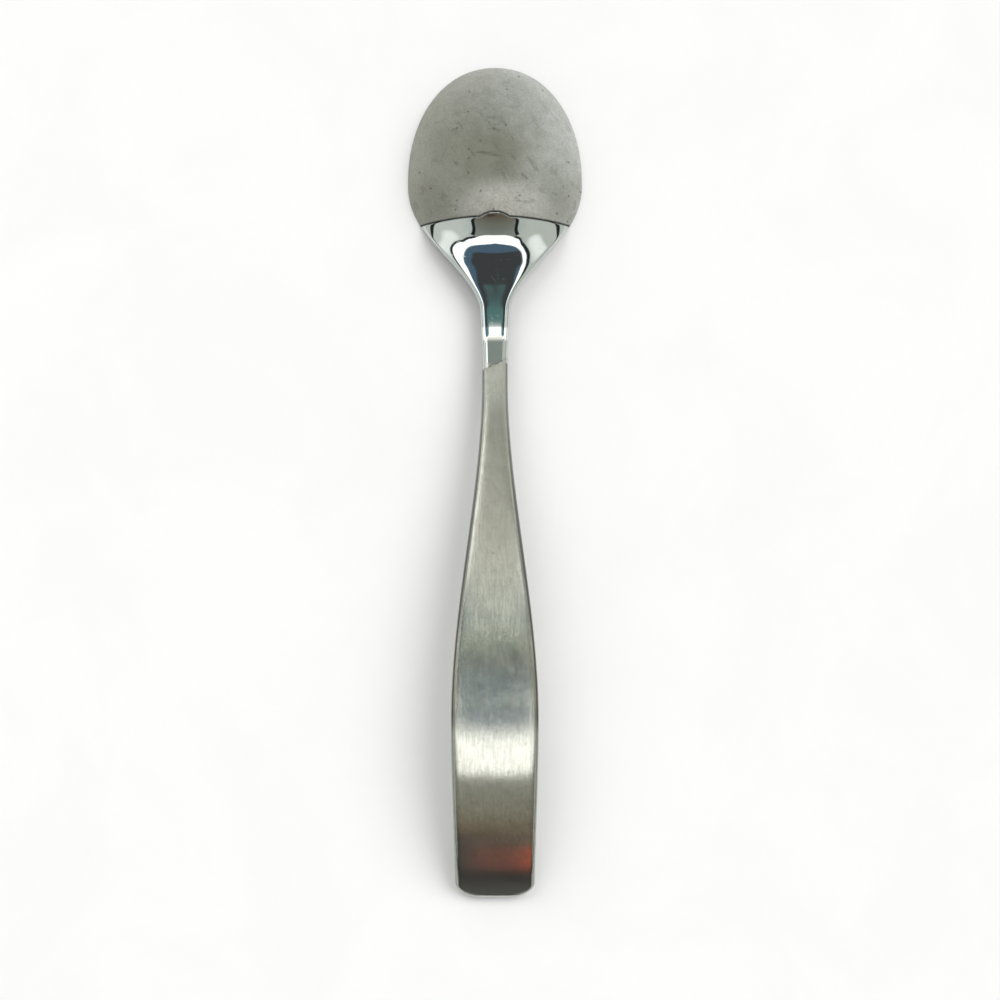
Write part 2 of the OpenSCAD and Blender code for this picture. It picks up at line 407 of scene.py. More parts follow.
def makeGroup(name, numbers, outputs):
    # every group takes a place in millimetres, then numbers with these defaults
    tree = bpy.data.node_groups.new(name, "ShaderNodeTree")
    tree.interface.new_socket("Place", in_out="INPUT", socket_type="NodeSocketVector")
    for label, default in numbers.items():
        socket = tree.interface.new_socket(label, in_out="INPUT", socket_type="NodeSocketFloat")
        socket.default_value = default
    for label in outputs:
        tree.interface.new_socket(label, in_out="OUTPUT", socket_type="NodeSocketFloat")
    return tree, tree.nodes.new("NodeGroupInput").outputs, tree.nodes.new("NodeGroupOutput").inputs


def useGroup(tree, group, place, **numbers):
    return addNode(tree, "ShaderNodeGroup", {"Place": place, **numbers}, node_tree=group).outputs


# grain left by the grit: lines where the two scales differ, a plain satin where they match
grit = {"Coarse": (0.42, 3.0), "Fine": (1.7, 2.0), "roughness": 0.6, "contrast": (0.28, 0.72)}
grainTree, grainIn, grainOut = makeGroup("gritGrain", {"Across": 5.0, "Along": 5.0}, ["Coarse", "Fine"])
stretch = addNode(grainTree, "ShaderNodeCombineXYZ",
                  {0: grainIn["Across"], 1: grainIn["Along"], 2: grainIn["Across"]})
scaled = vectorCalc(grainTree, "MULTIPLY", grainIn["Place"], stretch.outputs[0])
for label in ("Coarse", "Fine"):
    noise = noiseAt(grainTree, scaled, *grit[label], Roughness=grit["roughness"])
    grainTree.links.new(rampTo(grainTree, noise, *grit["contrast"]), grainOut[label])

# short scratches in two directions, gathered in clusters; each stroke has its turn and its shift
scuff = {
    "clusterNoise": (0.16, 2.0), "clusters": (0.44, 0.62), "strokes": ((0.0, 3.1), (0.85, 17.7)),
    "stretch": (0.26, 1.5, 1.0), "detail": 3.0, "roughness": 0.55, "distortion": 0.7, "soft": 0.09,
}
scuffTree, scuffIn, scuffOut = makeGroup(
    "scuffMarks", {"Scale": 1.0, "Turn": 0.5, "Reach": 0.62}, ["Marks"])
cluster = noiseAt(scuffTree, scuffIn["Place"], *scuff["clusterNoise"])
clustered = rampTo(scuffTree, cluster, *scuff["clusters"])
reachEnd = calc(scuffTree, "ADD", scuffIn["Reach"], scuff["soft"])
strokes = []
for turned, shift in scuff["strokes"]:
    angle = calc(scuffTree, "ADD", scuffIn["Turn"], turned)
    spin = addNode(scuffTree, "ShaderNodeVectorRotate", {"Vector": scuffIn["Place"], "Angle": angle},
                   rotation_type="Z_AXIS")
    longer = vectorCalc(scuffTree, "MULTIPLY", spin.outputs[0], scuff["stretch"])
    moved = vectorCalc(scuffTree, "ADD", longer, (shift, shift, 0))
    noise = noiseAt(scuffTree, moved, scuffIn["Scale"], scuff["detail"], Roughness=scuff["roughness"],
                    Distortion=scuff["distortion"])
    strokes.append(evenRamp(scuffTree, noise, scuffIn["Reach"], reachEnd))
marks = calc(scuffTree, "MAXIMUM", *strokes)
scuffTree.links.new(calc(scuffTree, "MULTIPLY", marks, clustered), scuffOut["Marks"])

# broad dull patches from use and washing
patch = {"detail": 4.0, "roughness": 0.62, "distortion": 0.6}
patchTree, patchIn, patchOut = makeGroup(
    "dullPatches", {"Scale": 0.15, "Low": 0.35, "High": 0.7}, ["Patches"])
noise = noiseAt(patchTree, patchIn["Place"], patchIn["Scale"], patch["detail"],
                Roughness=patch["roughness"], Distortion=patch["distortion"])
patchTree.links.new(rampTo(patchTree, noise, patchIn["Low"], patchIn["High"]), patchOut["Patches"])

# small dark pits, in some of the cells only
pit = {"pickedAbove": 0.84}
pitTree, pitIn, pitOut = makeGroup("pinPits", {"Scale": 1.0, "Size": 0.12}, ["Pits"])
cells = addNode(pitTree, "ShaderNodeTexVoronoi", {"Vector": pitIn["Place"], "Scale": pitIn["Scale"]},
                voronoi_dimensions="2D")
cellTone = addNode(pitTree, "ShaderNodeSeparateColor", {0: cells.outputs["Color"]}).outputs[0]
picked = calc(pitTree, "GREATER_THAN", cellTone, pit["pickedAbove"])
inside = evenRamp(pitTree, cells.outputs["Distance"], pitIn["Size"], 0.0)
pitTree.links.new(calc(pitTree, "MULTIPLY", picked, inside), pitOut["Pits"])

# uneven border where the polish stops and the brushing starts, 1 on the handle's side
border = {"teethScale": 1.1, "teethDetail": 3.0, "soft": 0.12, "edge": (0.35, 0.05)}
borderTree, borderIn, borderOut = makeGroup(
    "finishBorder", {"Station": sp.borderAt, "Lean": -0.5, "Jag": 1.0}, ["Satin", "Edge"])
sideways, lengthways, _ = partsOf(borderTree, borderIn["Place"])
station = calc(borderTree, "SUBTRACT", sp.length / 2, lengthways)
teeth = addNode(borderTree, "ShaderNodeTexNoise",
                {"W": sideways, "Scale": border["teethScale"], "Detail": border["teethDetail"]},
                noise_dimensions="1D").outputs["Fac"]
tooth = calc(borderTree, "MULTIPLY", calc(borderTree, "SUBTRACT", teeth, halfway), borderIn["Jag"])
leaning = calc(borderTree, "MULTIPLY_ADD", sideways, borderIn["Lean"], borderIn["Station"])
past = calc(borderTree, "SUBTRACT", station, calc(borderTree, "ADD", leaning, tooth))
borderTree.links.new(rampTo(borderTree, past, -border["soft"], border["soft"]), borderOut["Satin"])
fromBorder = calc(borderTree, "ABSOLUTE", past)
borderTree.links.new(rampTo(borderTree, fromBorder, *border["edge"]), borderOut["Edge"])
print("node groups ready")


def newMaterial(name):
    material = bpy.data.materials.new(name)
    material.use_nodes = True
    tree = material.node_tree
    shader = tree.nodes["Principled BSDF"]
    coords = addNode(tree, "ShaderNodeTexCoord").outputs["Object"]
    # patterns are set out in millimetres
    place = addNode(tree, "ShaderNodeVectorMath", {0: coords, "Scale": 1 / mm}, operation="SCALE")
    return material, tree, shader, place.outputs[0]


def readAttribute(tree, label):
    made = addNode(tree, "ShaderNodeAttribute", attribute_name=label, attribute_type="GEOMETRY")
    return made.outputs["Fac"]


# painted shade along the groove across the heel
def grooveShadeMask(tree, place, reach):
    # 1 on the line across the heel, falling to 0 at that reach from it in millimetres
    x, y, _ = partsOf(tree, place)
    x2 = calc(tree, "MULTIPLY", x, x)
    s = calc(tree, "SUBTRACT", sp.length / 2, y)
    arcDrop = calc(tree, "SQRT", calc(tree, "SUBTRACT", sp.lineRadius ** 2, x2))
    arc = calc(tree, "SUBTRACT", sp.lineAt + sp.lineRadius, arcDrop)
    peakRoom = calc(tree, "MAXIMUM", calc(tree, "SUBTRACT", sp.peakRadius ** 2, x2), 0.0)
    peak = calc(tree, "SUBTRACT", sp.lineAt - sp.peakHeight + sp.peakRadius, calc(tree, "SQRT", peakRoom))
    line = calc(tree, "MINIMUM", arc, peak)
    gap = calc(tree, "ABSOLUTE", calc(tree, "SUBTRACT", s, line))
    return rampTo(tree, gap, reach, 0.0)


backSoft = 0.05  # the back fades out where the normal's height is within this of sideways


def onBack(tree):
    # 1 on the side that faces up, 0 on the side that faces down
    normal = addNode(tree, "ShaderNodeNewGeometry").outputs["Normal"]
    return rampTo(tree, partsOf(tree, normal)[2], -backSoft, backSoft)


spotCore = 0.15  # share of an oval's reach that is at full strength


def spot(tree, place, middle, reach):
    # 1 in the middle of an oval on the plan, 0 at its edge
    gap = vectorCalc(tree, "SUBTRACT", place, (*middle, 0))
    flat = vectorCalc(tree, "MULTIPLY", gap, (1 / reach[0], 1 / reach[1], 0))
    far = addNode(tree, "ShaderNodeVectorMath", {0: flat}, operation="LENGTH").outputs["Value"]
    return rampTo(tree, far, 1.0, spotCore)


def addBump(tree, shader, height, strength, distance):
    bump = addNode(tree, "ShaderNodeBump", {"Height": height, "Strength": strength, "Distance": distance})
    tree.links.new(bump.outputs[0], shader.inputs["Normal"])


# spots have their middle and reach on the plan in millimetres
# a Mix is how far a mask tints; where it is a pair, gain and base, another mask sets it
# painted highlight: the near white tone, laid on a spot just above the line across the heel
satin = {
    "pale": (0.75, 0.765, 0.74, 1), "warm": (0.47, 0.47, 0.42, 1), "dull": (0.30, 0.30, 0.25, 1),
    "scratch": (0.20, 0.20, 0.17, 1), "gouge": (0.07, 0.07, 0.06, 1), "paintedSheen": (0.98, 0.985, 0.95, 1),
    "grooveShade": (0.03, 0.032, 0.034, 1), "hollow": (0.58, 0.585, 0.55, 1),
    "hollowGrain": (0.48, 0.485, 0.45, 1),
    # painted shade: the crest spot and the two spots towards the heel, on the left and on the right, darken
    # the back
    "crest": ((-1.8, 61.8), (14.0, 11.5)), "lowerLeftShade": ((-12.0, 53.5), (7.0, 8.0)),
    "shade": ((13.0, 53.5), (6.5, 9.0)), "sheenSpot": ((1.8, 52.0), (11.0, 6.6)),
    "rubbed": ((-1.5, 60.5), (17.0, 12.0)), "warmToPale": (-15.0, 9.0), "scuffShift": (4.0, 9.0, 0.0),
    "rubbedScuffs": (0.8, 0.2), "crestMix": (0.15, 0.85), "lowerLeftShadeMix": (0.35, 0.50),
    "shadeMix": (0.30, 0.40), "patchMix": 0.22, "streakMix": 0.22, "smudgeMix": 0.16, "grainMix": 0.24,
    "scuffMix": 0.66, "pitMix": 0.75, "grooveShadeReach": 0.36,
    "roughness": 0.55, "grainRough": 0.08, "scuffRough": -0.08,
    "scuffDepth": -0.8, "pitDepth": -2.0, "bump": (0.35, 0.00002),
}
satinSteel, tree, shader, place = newMaterial("satinSteel")
grain = useGroup(tree, grainTree, place, Across=6.0, Along=6.0)
patches = useGroup(tree, patchTree, place, Scale=0.22, Low=0.34, High=0.68)["Patches"]
smudges = useGroup(tree, patchTree, place, Scale=0.55, Low=0.50, High=0.70)["Patches"]
scuffPlace = vectorCalc(tree, "ADD", place, satin["scuffShift"])
scuffs = useGroup(tree, scuffTree, scuffPlace, Scale=0.52, Turn=0.12, Reach=0.575)["Marks"]
rubbed = calc(tree, "MULTIPLY_ADD", spot(tree, place, *satin["rubbed"]), *satin["rubbedScuffs"])
scuffs = calc(tree, "MULTIPLY", scuffs, rubbed)
pits = useGroup(tree, pitTree, place, Scale=0.42, Size=0.12)["Pits"]
streaks = useGroup(tree, grainTree, place, Across=2.2, Along=0.35)["Coarse"]
# painted light: the bowl's back is paler towards the right and darker and yellower towards the left
leftToRight = rampTo(tree, partsOf(tree, place)[0], *satin["warmToPale"])
color = blendColor(tree, leftToRight, satin["warm"], satin["pale"])
color = tint(tree, color, satin["dull"], patches, satin["patchMix"])
# painted shade: darker spots on the bowl's crest and towards the heel on its left and right, broken up by
# patches and smudges
for area, mask in (("crest", patches), ("lowerLeftShade", smudges), ("shade", smudges)):
    strength = calc(tree, "MULTIPLY_ADD", mask, *satin[area + "Mix"])
    color = tint(tree, color, satin["dull"], spot(tree, place, *satin[area]), strength)
# painted highlight: a near white patch on the bowl's back just above the line across the heel, with dull
# streaks in it
paintedSheen = spot(tree, place, *satin["sheenSpot"])
color = blendColor(tree, paintedSheen, color, satin["paintedSheen"])
color = tint(tree, color, satin["dull"], streaks, calc(tree, "MULTIPLY", paintedSheen, satin["streakMix"]))
color = tint(tree, color, satin["scratch"], smudges, satin["smudgeMix"])
color = tint(tree, color, satin["scratch"], grain["Coarse"], satin["grainMix"])
back = onBack(tree)
hollowTone = blendColor(tree, grain["Coarse"], satin["hollow"], satin["hollowGrain"])
color = blendColor(tree, back, hollowTone, color)  # the hollow is an even satin
color = tint(tree, color, satin["gouge"], scuffs, satin["scuffMix"])
color = tint(tree, color, satin["gouge"], pits, satin["pitMix"])
# painted shade: near black along the groove, on the back only
color = tint(tree, color, satin["grooveShade"], grooveShadeMask(tree, place, satin["grooveShadeReach"]), back)
tree.links.new(color, shader.inputs["Base Color"])
leastRough = satin["roughness"] - satin["grainRough"] / 2
rough = calc(tree, "MULTIPLY_ADD", grain["Fine"], satin["grainRough"], leastRough)
rough = calc(tree, "MULTIPLY_ADD", scuffs, satin["scuffRough"], rough)
tree.links.new(rough, shader.inputs["Roughness"])
shader.inputs["Metallic"].default_value = 1.0
height = calc(tree, "ADD", grain["Fine"], grain["Coarse"])
height = calc(tree, "MULTIPLY_ADD", scuffs, satin["scuffDepth"], height)
height = calc(tree, "MULTIPLY_ADD", pits, satin["pitDepth"], height)
addBump(tree, shader, height, *satin["bump"])
print("satin steel ready")

polish = {
    "steel": (0.61, 0.65, 0.635, 1), "bend": (0.97, 0.98, 0.97, 1), "hairline": (0.42, 0.42, 0.40, 1),
    "grooveShade": (0.03, 0.032, 0.034, 1), "satin": (0.60, 0.605, 0.565, 1), "tealReflection": (0.36, 0.42, 0.42, 1),
    "tealReflectionSpot": ((0.0, 48.8), (7.5, 3.6)),
    "bendStart": (50.2, 50.8), "bendEnd": (53.4, 52.8), "bendSide": (0.96, 0.86), "hollowSoft": 0.2,
    "patchMix": 0.10, "scuffMix": 0.25, "tealReflectionMix": 0.8, "edgeMix": 0.6, "grooveShadeReach": 0.34,
    "roughness": 0.035, "satinRoughness": 0.36, "patchRough": 0.02, "scuffRough": 0.10,
    "scuffDepth": -1.0, "bump": (0.12, 0.00001),
}
polishedSteel, tree, shader, place = newMaterial("polishedSteel")
grain = useGroup(tree, grainTree, place, Across=6.0, Along=6.0)
patches = useGroup(tree, patchTree, place, Scale=0.6, Low=0.42, High=0.72)["Patches"]
scuffs = useGroup(tree, scuffTree, place, Scale=1.8, Turn=0.2, Reach=0.64)["Marks"]
finish = useGroup(tree, borderTree, place)
color = tint(tree, polish["steel"], polish["hairline"], patches, polish["patchMix"])
color = tint(tree, color, polish["hairline"], scuffs, polish["scuffMix"])
# painted reflection: a darker teal tone across the neck, just before the bend
color = tint(tree, color, polish["tealReflection"], spot(tree, place, *polish["tealReflectionSpot"]), polish["tealReflectionMix"])
along = readAttribute(tree, "along")
side = calc(tree, "ABSOLUTE", readAttribute(tree, "across"))
back = onBack(tree)
bend = product(tree, rampTo(tree, along, *polish["bendStart"]), rampTo(tree, along, *polish["bendEnd"]),
               back, rampTo(tree, side, *polish["bendSide"]))
color = blendColor(tree, bend, color, polish["bend"])  # painted highlight: the steel is near white on the back where the stem bends up
color = blendColor(tree, finish["Satin"], color, polish["satin"])
color = tint(tree, color, polish["hairline"], finish["Edge"], polish["edgeMix"])
# painted shade: near black along the groove, on the back only
color = tint(tree, color, polish["grooveShade"], grooveShadeMask(tree, place, polish["grooveShadeReach"]), back)
station = calc(tree, "SUBTRACT", sp.length / 2, partsOf(tree, place)[1])
beforeEnd = rampTo(tree, station, sp.hollowEnd + polish["hollowSoft"], sp.hollowEnd - polish["hollowSoft"])
inHollow = calc(tree, "MULTIPLY", calc(tree, "SUBTRACT", 1.0, back), beforeEnd)
hollowTone = blendColor(tree, grain["Coarse"], satin["hollow"], satin["hollowGrain"])
color = blendColor(tree, inHollow, color, hollowTone)  # the satin runs on through the hollow
tree.links.new(color, shader.inputs["Base Color"])
rough = calc(tree, "MULTIPLY_ADD", patches, polish["patchRough"], polish["roughness"])
rough = calc(tree, "MULTIPLY_ADD", scuffs, polish["scuffRough"], rough)
rough = calc(tree, "MULTIPLY_ADD", finish["Satin"], polish["satinRoughness"] - polish["roughness"], rough)
rough = blendValue(tree, inHollow, rough, satin["roughness"])
tree.links.new(rough, shader.inputs["Roughness"])
shader.inputs["Metallic"].default_value = 1.0
addBump(tree, shader, calc(tree, "MULTIPLY", scuffs, polish["scuffDepth"]), *polish["bump"])
print("polished steel ready")

# zones fade in and out between two stations, or two places across
brush = {
    "pale": (0.62, 0.63, 0.565, 1), "stem": (0.53, 0.535, 0.48, 1), "dull": (0.45, 0.45, 0.385, 1),
    "gripSheen": (0.98, 0.95, 0.77, 1), "scratch": (0.28, 0.28, 0.25, 1), "edge": (0.09, 0.093, 0.085, 1),
    "polished": (0.64, 0.645, 0.63, 1),
    "edgeIn": (0.935, 0.965), "edgeOut": (0.998, 0.986), "shoulder": (0.80, 0.90),
    "stemIn": (60.0, 68.0), "stemOut": (108.0, 96.0), "gripIn": (105.0, 111.0), "gripOut": (124.5, 120.5),
    "edgeShadeFade": (123.5, 128.0, 1.0, 0.35), "startOut": (58.0, 70.0),
    "patchMix": 0.34, "blotchMix": 0.22, "grainMix": 0.26, "stippleMix": 0.16, "scuffMix": 0.20,
    "pitMix": 0.6, "shoulderMix": 0.68, "edgeMix": 0.88, "borderMix": 0.6,
    "roughness": 0.13, "startRoughness": 0.36, "polishRoughness": 0.04, "grainRough": 0.05,
    "scuffRough": 0.06,
    "anisotropy": 0.5, "metallic": 0.96, "scuffDepth": -0.6, "bump": (0.20, 0.00001),
}
brushedSteel, tree, shader, place = newMaterial("brushedSteel")
grain = useGroup(tree, grainTree, place, Across=6.0, Along=0.55)
stipple = useGroup(tree, grainTree, place, Across=5.0, Along=4.0)["Coarse"]
patches = useGroup(tree, patchTree, place, Scale=0.16, Low=0.36, High=0.70)["Patches"]
blotches = useGroup(tree, patchTree, place, Scale=0.5, Low=0.48, High=0.74)["Patches"]
scuffs = useGroup(tree, scuffTree, place, Scale=0.9, Turn=0.9, Reach=0.63)["Marks"]
pits = useGroup(tree, pitTree, place, Scale=0.34, Size=0.10)["Pits"]
finish = useGroup(tree, borderTree, place)
along = readAttribute(tree, "along")
side = calc(tree, "ABSOLUTE", readAttribute(tree, "across"))
# painted shade: dark lines along the handle's rounded edges, and a darker band on its shoulders
edgeShadeLine = product(tree, rampTo(tree, side, *brush["edgeIn"]), rampTo(tree, side, *brush["edgeOut"]))
shoulder = rampTo(tree, side, *brush["shoulder"])
# painted shade: the steel is darker from the stem to the grip, which dims its reflections there
onStem = product(tree, rampTo(tree, along, *brush["stemIn"]), rampTo(tree, along, *brush["stemOut"]))
color = blendColor(tree, onStem, brush["pale"], brush["stem"])
gripSheenMask = product(tree, rampTo(tree, along, *brush["gripIn"]), rampTo(tree, along, *brush["gripOut"]))
color = blendColor(tree, gripSheenMask, color, brush["gripSheen"])  # painted highlight: the steel is near white and yellowish over the grip, which brightens its reflections
color = tint(tree, color, brush["dull"], patches, brush["patchMix"])
for mask, amount in ((blotches, "blotchMix"), (grain["Coarse"], "grainMix"), (stipple, "stippleMix"),
                     (scuffs, "scuffMix"), (pits, "pitMix")):
    color = tint(tree, color, brush["scratch"], mask, brush[amount])
edgeShadeFade = rampTo(tree, along, *brush["edgeShadeFade"])  # the painted shade on the edges fades out towards the end
for mask, amount in ((shoulder, "shoulderMix"), (edgeShadeLine, "edgeMix")):
    color = tint(tree, color, brush["edge"], mask, calc(tree, "MULTIPLY", edgeShadeFade, brush[amount]))
color = blendColor(tree, finish["Satin"], brush["polished"], color)
color = tint(tree, color, brush["scratch"], finish["Edge"], brush["borderMix"])
tree.links.new(color, shader.inputs["Base Color"])
rough = rampTo(tree, along, *brush["startOut"], brush["startRoughness"], brush["roughness"])
rough = calc(tree, "MULTIPLY_ADD", grain["Coarse"], brush["grainRough"], rough)
rough = calc(tree, "MULTIPLY_ADD", scuffs, brush["scuffRough"], rough)
rough = blendValue(tree, finish["Satin"], brush["polishRoughness"], rough)
tree.links.new(rough, shader.inputs["Roughness"])
shader.inputs["Metallic"].default_value = brush["metallic"]
shader.inputs["Anisotropic"].default_value = brush["anisotropy"]
tangent = addNode(tree, "ShaderNodeTangent", direction_type="UV_MAP", uv_map="brushMap")
tree.links.new(tangent.outputs[0], shader.inputs["Tangent"])
height = calc(tree, "ADD", grain["Fine"], grain["Coarse"])
height = calc(tree, "MULTIPLY_ADD", scuffs, brush["scuffDepth"], height)
addBump(tree, shader, height, *brush["bump"])
print("brushed steel ready")

for piece, material, node, slot in ((satinBowl, satinSteel, "bowl", "bowl_satin"),
                                    (polishedNeck, polishedSteel, "neck", "neck_polish"),
                                    (brushedHandle, brushedSteel, "handle", "handle_brushed")):
    piece.data.materials.clear()
    piece.data.materials.append(material)
    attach(piece, "root")
    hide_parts(node)
print("pieces placed")

# pale table top, its radius in metres
table = {
    "radius": 1.6, "corners": 96, "color": (0.92, 0.92, 0.91, 1), "dull": (0.895, 0.895, 0.885, 1),
    "roughness": 0.55, "patchRough": 0.06, "specular": 0.2,
}
tableMesh = bpy.data.meshes.new("tableTop")
rimPoints = [(table["radius"] * math.cos(a), table["radius"] * math.sin(a), 0)
             for a in np.linspace(0, 2 * math.pi, table["corners"], endpoint=False)]
tableMesh.from_pydata(rimPoints, [], [list(range(len(rimPoints)))])
tableTop = bpy.data.objects.new("tableTop", tableMesh)
scene.collection.objects.link(tableTop)
tablePaint, tree, shader, place = newMaterial("tablePaint")
patches = useGroup(tree, patchTree, place, Scale=0.03, Low=0.3, High=0.75)["Patches"]
color = blendColor(tree, patches, table["color"], table["dull"])
tree.links.new(color, shader.inputs["Base Color"])
rough = calc(tree, "MULTIPLY_ADD", patches, table["patchRough"], table["roughness"])
tree.links.new(rough, shader.inputs["Roughness"])
shader.inputs["Specular IOR Level"].default_value = table["specular"]
tableMesh.materials.append(tablePaint)
print("table ready")

# soft room with a ring lamp overhead; directions in degrees from straight up, ax across and ay along
# a limit comes with the width over which it fades
room = {
    "wall": (0.68, 0.70, 0.65, 1), "bright": (0.76, 0.78, 0.74, 1), "spot": (1.25, 1.25, 1.21, 1),
    "seam": (0.02, 0.025, 0.03, 1), "skirting": (0.03, 0.03, 0.03, 1), "below": (0.85, 0.86, 0.84, 1),
    "fill": (0.53, 0.535, 0.53, 1), "shade": (0.10, 0.10, 0.10, 1), "seen": (1.0, 1.0, 0.995, 1),
    "panelRight": (-22, 4.0), "panelLeft": (-72, 8.0), "panelFront": (-34, 8.0), "panelBack": (34, 8.0),
    "spots": ((-36.0, 11.0, 15.0), (26.0, 9.0, 11.0)), "spotFlat": 0.8, "spotSoft": 1.9,
    "skirtingTop": (70, 2.0), "skirtingFoot": (77.5, 2.0), "floorFrom": (90, 0.5),
}
world = bpy.data.worlds.new("softRoom")
scene.world = world
world.use_nodes = True
tree = world.node_tree
tree.nodes.clear()
dx, dy, dz = partsOf(tree, addNode(tree, "ShaderNodeTexCoord").outputs["Generated"])
perRadian = math.degrees(1)
leastLevel = 1e-5  # keeps the division below from failing straight up
angle = calc(tree, "MULTIPLY", calc(tree, "ARCCOSINE", dz), perRadian)
level = calc(tree, "ADD", calc(tree, "MULTIPLY", dx, dx), calc(tree, "MULTIPLY", dy, dy))
level = calc(tree, "SQRT", level)
perLevel = calc(tree, "DIVIDE", angle, calc(tree, "MAXIMUM", level, leastLevel))
ax = calc(tree, "MULTIPLY", dx, perLevel)
ay = calc(tree, "MULTIPLY", dy, perLevel)
sideways = calc(tree, "ABSOLUTE", ax)
turn = calc(tree, "ARCTAN2", sideways, calc(tree, "MULTIPLY", ay, -1.0))
turn = calc(tree, "MULTIPLY", turn, perRadian)  # 0 towards the handle's end, 180 towards the bowl tip


def above(value, limit, soft=1.0):
    return rampTo(tree, value, limit - soft / 2, limit + soft / 2)


def below(value, limit, soft=1.0):
    return rampTo(tree, value, limit - soft / 2, limit + soft / 2, 1.0, 0.0)


def oval(x, y, reachX, reachY, soft=0.12):
    shares = [calc(tree, "DIVIDE", x, reachX), calc(tree, "DIVIDE", y, reachY)]
    squares = [calc(tree, "POWER", calc(tree, "ABSOLUTE", share), 2.0) for share in shares]
    return below(calc(tree, "ADD", *squares), 1.0, soft)


def colorSteps(value, stops):
    low, high = stops[0][0], stops[-1][0]
    made = addNode(tree, "ShaderNodeValToRGB", {0: evenRamp(tree, value, low, high)})
    marks = made.color_ramp.elements
    marks[0].color = stops[0][1]
    marks[1].color = stops[-1][1]
    for at, color in stops[1:-1]:
        marks.new((at - low) / (high - low)).color = color
    return made.outputs["Color"]


onLeft = below(ax, 0)
leftPanel = product(tree, below(ax, *room["panelRight"]), above(ax, *room["panelLeft"]),
                    above(ay, *room["panelFront"]), below(ay, *room["panelBack"]))
color = blendColor(tree, leftPanel, room["wall"], room["bright"])
for spotX, spotY, spotReach in room["spots"]:
    fromX = calc(tree, "SUBTRACT", ax, spotX)
    fromY = calc(tree, "SUBTRACT", ay, spotY)
    inSpot = oval(fromX, fromY, spotReach, spotReach * room["spotFlat"], room["spotSoft"])
    color = blendColor(tree, inSpot, color, room["spot"])

# what stands in front, darker and browner towards its foot, which slants
stand = {
    "tones": [(-78, (0.07, 0.068, 0.068, 1)), (-60, (0.075, 0.068, 0.066, 1)),
              (-53, (0.13, 0.085, 0.07, 1)), (-45, (0.22, 0.17, 0.12, 1)),
              (-36, (0.32, 0.30, 0.24, 1)), (-24, (0.37, 0.37, 0.33, 1))],
    "from": (-14, 2.0), "halfWidth": (-38.0, -15.0, 21.5, 15.5), "seamWidth": 4,
    "slantLeft": -7.0, "slantRight": 3.0, "slantFade": (-64.0, -42.0, 4.7, 0.0),
    "ember": (0.70, 0.12, 0.055, 1), "emberLeft": (3.0, 3.6), "emberRight": (14, 6.0),
    "emberFoot": (-70, 5.0), "emberTop": (-56, 5.0),
}
inFront = below(ay, *stand["from"])
fromStand = calc(tree, "SUBTRACT", sideways, rampTo(tree, ay, *stand["halfWidth"]))
heldX = calc(tree, "MINIMUM", calc(tree, "MAXIMUM", ax, stand["slantLeft"]), stand["slantRight"])
slant = calc(tree, "MULTIPLY", heldX, rampTo(tree, ay, *stand["slantFade"]))
slanted = calc(tree, "ADD", ay, slant)
onStand = product(tree, inFront, below(fromStand, 0))
color = blendColor(tree, onStand, color, colorSteps(slanted, stand["tones"]))
ember = product(tree, above(ax, *stand["emberLeft"]), below(ax, *stand["emberRight"]),
                above(ay, *stand["emberFoot"]), below(ay, *stand["emberTop"]))
color = blendColor(tree, ember, color, stand["ember"])
standSeam = product(tree, inFront, above(fromStand, 0), below(fromStand, stand["seamWidth"]))
color = blendColor(tree, standSeam, color, room["seam"])

# the ring lamp, wider on the left, with a dark seam outside it; its edge changes with the turn
lamp = {
    "light": (2.0, 2.0, 1.97, 1), "edge": (15.0, 60.0, 21.3, 17.0), "seamWidth": 3,
    "rightNear": (60.0, 84.0, 0.0, -3.4), "rightFar": (96.0, 114.0, 0.0, 2.2),
    "leftNear": (40.0, 80.0, 0.0, 1.5), "leftFar": (84.0, 114.0, 0.0, 8.0),
    "seamFront": (-14, 2.0), "seamBack": (20, 3.0),
}
rightEdge = calc(tree, "ADD", rampTo(tree, turn, *lamp["rightNear"]), rampTo(tree, turn, *lamp["rightFar"]))
leftEdge = calc(tree, "ADD", rampTo(tree, turn, *lamp["leftNear"]), rampTo(tree, turn, *lamp["leftFar"]))
sideEdge = blendValue(tree, onLeft, rightEdge, leftEdge)
lampEdge = calc(tree, "ADD", rampTo(tree, turn, *lamp["edge"]), sideEdge)
pastLamp = calc(tree, "SUBTRACT", angle, lampEdge)
sideBand = product(tree, above(ay, *lamp["seamFront"]), below(ay, *lamp["seamBack"]))
lampSeam = product(tree, sideBand, above(pastLamp, 0), below(pastLamp, lamp["seamWidth"]))
color = blendColor(tree, lampSeam, color, room["seam"])
color = blendColor(tree, below(pastLamp, 0), color, lamp["light"])

# the lamp's middle, blue with a dark core, and the paler strip of wall past it
middle = {
    "glow": (0.10, 0.165, 0.235, 1), "glowHalf": 11.2, "glowMoreLeft": 3.0, "glowSag": -0.34,
    "glowBack": 1.2, "glowDepth": 8.65,
    "core": (0.068, 0.068, 0.073, 1), "coreHalf": 11.4, "coreMoreLeft": -2.2, "coreAt": 1.8,
    "coreDepth": 2.9, "coreSoft": 0.3, "far": (0.12, 0.25, 0.24, 1), "farFront": (2.0, 0.5),
    "farSide": (5, 1.0), "farBack": (8, 2.0), "stripHalf": (5.0, 9.0, 2.8, 7.0), "stripFront": (3.3, 0.8),
    "stripSoft": 1.5,
    "strip": [(4, (1.42, 1.42, 1.34, 1)), (7, (1.11, 1.12, 1.02, 1)), (9, (0.90, 0.91, 0.82, 1)),
              (13, (0.68, 0.69, 0.62, 1)), (18, (0.53, 0.54, 0.49, 1)), (22.5, (0.34, 0.37, 0.34, 1)),
              (30, (0.34, 0.37, 0.34, 1))],
}
glowReach = calc(tree, "MULTIPLY_ADD", onLeft, middle["glowMoreLeft"], middle["glowHalf"])
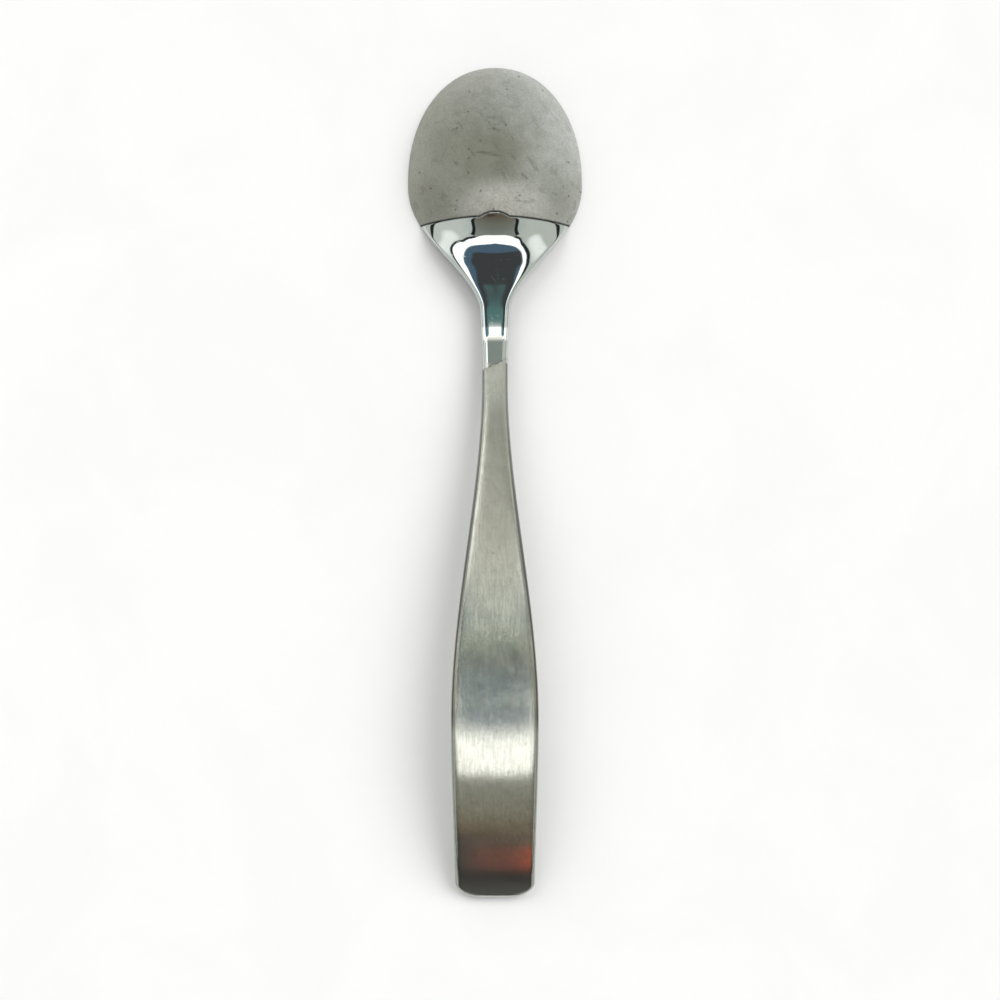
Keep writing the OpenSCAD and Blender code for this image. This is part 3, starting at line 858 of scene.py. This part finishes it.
glowSag = calc(tree, "MULTIPLY", sideways, middle["glowSag"])
glowY = calc(tree, "ADD", calc(tree, "ADD", ay, middle["glowBack"]), glowSag)
inGlow = oval(calc(tree, "DIVIDE", ax, glowReach), glowY, 1.0, middle["glowDepth"])
color = blendColor(tree, inGlow, color, middle["glow"])
coreReach = calc(tree, "MULTIPLY_ADD", onLeft, middle["coreMoreLeft"], middle["coreHalf"])
coreY = calc(tree, "SUBTRACT", ay, middle["coreAt"])
inCore = oval(calc(tree, "DIVIDE", ax, coreReach), coreY, 1.0, middle["coreDepth"], middle["coreSoft"])
color = blendColor(tree, inCore, color, middle["core"])
inFar = product(tree, above(ay, *middle["farFront"]), below(sideways, *middle["farSide"]),
                below(ay, *middle["farBack"]))
color = blendColor(tree, inFar, color, middle["far"])
pastStrip = calc(tree, "SUBTRACT", sideways, rampTo(tree, ay, *middle["stripHalf"]))
inStrip = product(tree, above(ay, *middle["stripFront"]), below(pastStrip, 0, middle["stripSoft"]))
color = blendColor(tree, inStrip, color, colorSteps(ay, middle["strip"]))

# the foot of the walls, the floor, and which rays see what
inSkirting = product(tree, above(angle, *room["skirtingTop"]), below(angle, *room["skirtingFoot"]))
color = blendColor(tree, inSkirting, color, room["skirting"])
color = blendColor(tree, above(angle, *room["floorFrom"]), color, room["below"])
path = addNode(tree, "ShaderNodeLightPath").outputs
color = blendColor(tree, path["Is Glossy Ray"], room["fill"], color)  # only mirrored rays see the room
earlier = calc(tree, "SUBTRACT", path["Diffuse Depth"], path["Is Diffuse Ray"])
bounced = calc(tree, "GREATER_THAN", earlier, halfway)
# light that comes to the table by way of another surface is dim
color = blendColor(tree, bounced, color, room["shade"])
light = addNode(tree, "ShaderNodeBackground", {"Color": color, "Strength": 1.0})
seen = addNode(tree, "ShaderNodeBackground", {"Color": room["seen"], "Strength": 1.0})
choose = addNode(tree, "ShaderNodeMixShader",
                 {0: path["Is Camera Ray"], 1: light.outputs[0], 2: seen.outputs[0]})
addNode(tree, "ShaderNodeOutputWorld", {"Surface": choose.outputs[0]})
print("room ready")

# broad soft lights; each share is the light it gives a level white sheet, each spread is in degrees
sideLights = {
    "rightLight": {"from": (0.58, 0.36, 0.73), "share": 0.38, "spread": 46},
    "farLight": {"from": (-0.34, 0.68, 0.64), "share": 0.18, "spread": 46},
}
for name, values in sideLights.items():
    lightData = bpy.data.lights.new(name, "SUN")
    sideLight = bpy.data.objects.new(name, lightData)
    scene.collection.objects.link(sideLight)
    sideLight.location = values["from"]
    aim = sideLight.location.normalized()
    lightData.energy = values["share"] * math.pi / aim.z
    lightData.angle = math.radians(values["spread"])
    sideLight.rotation_euler = (-aim).to_track_quat("-Z", "Y").to_euler()
    sideLight.visible_glossy = False  # the steel mirrors the room alone
print("lights ready")

# straight down, with the bowl tip at the top of the picture; place and width in metres
view = {"place": (0.000966, -0.00348, 0.42), "width": 0.19324}
cameraData = bpy.data.cameras.new("overhead")
cameraData.sensor_fit = "HORIZONTAL"
cameraData.angle = 2 * math.atan(view["width"] / 2 / view["place"][2])
camera = bpy.data.objects.new("overhead", cameraData)
scene.collection.objects.link(camera)
camera.location = view["place"]
scene.camera = camera
print("camera ready")
